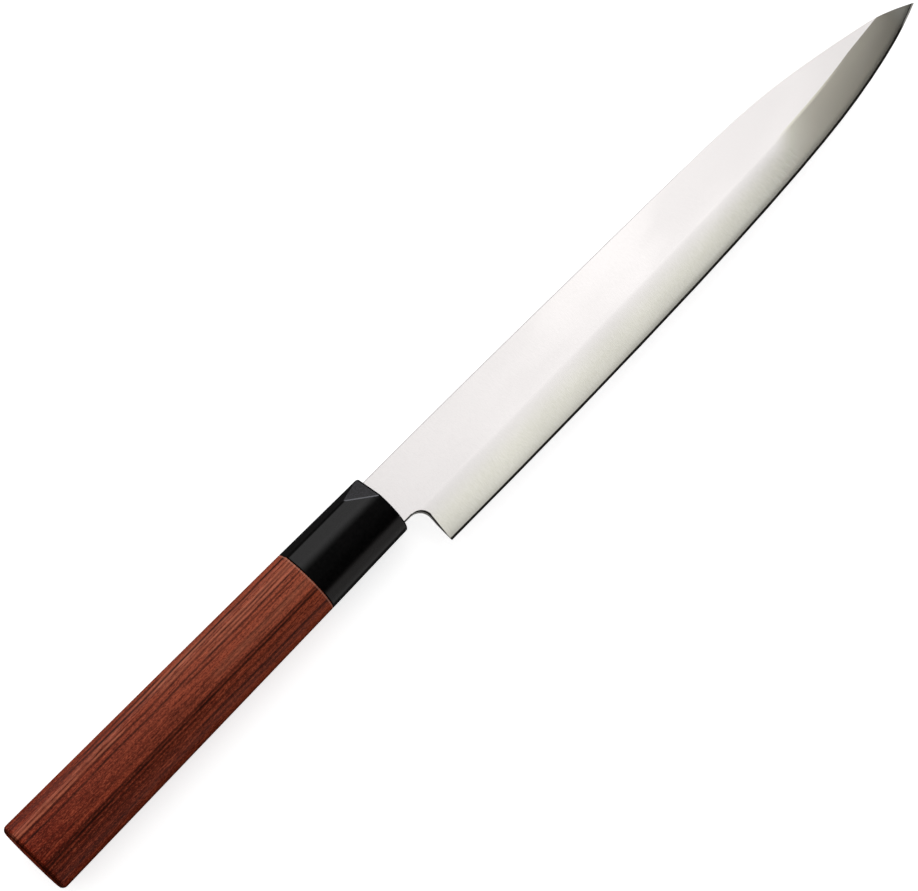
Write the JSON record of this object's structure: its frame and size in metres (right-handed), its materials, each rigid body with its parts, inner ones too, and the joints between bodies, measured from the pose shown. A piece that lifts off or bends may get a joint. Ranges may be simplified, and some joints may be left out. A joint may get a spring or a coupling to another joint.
{
  "type": "yanagiba knife",
  "caption": "Long slicing knife, ground on its right side only, with a hidden tang, an oval ridged wooden handle and a black ferrule.",
  "frame": {"origin": "middle of the knife's box seen from above, at the height of the surface that carries the handle when the knife lies on its left side", "axes": "+X from the butt to the tip along the handle's middle line, +Y from the edge to the spine, +Z out of the ground right face"},
  "size_m": [0.3518, 0.0325, 0.0204],
  "materials": {
    "steel": "satin, ground bevel a little darker",
    "black_resin": "moulded, semi-gloss",
    "red_wood": "reddish brown laminated wood, sealed, semi-gloss",
    "adhesive": "hardened resin, hidden"
  },
  "bodies": {
    "root": {"blade": "steel", "ferrule": "black_resin", "handle": "red_wood", "tang_adhesive": "adhesive"}
  },
  "joints": []
}
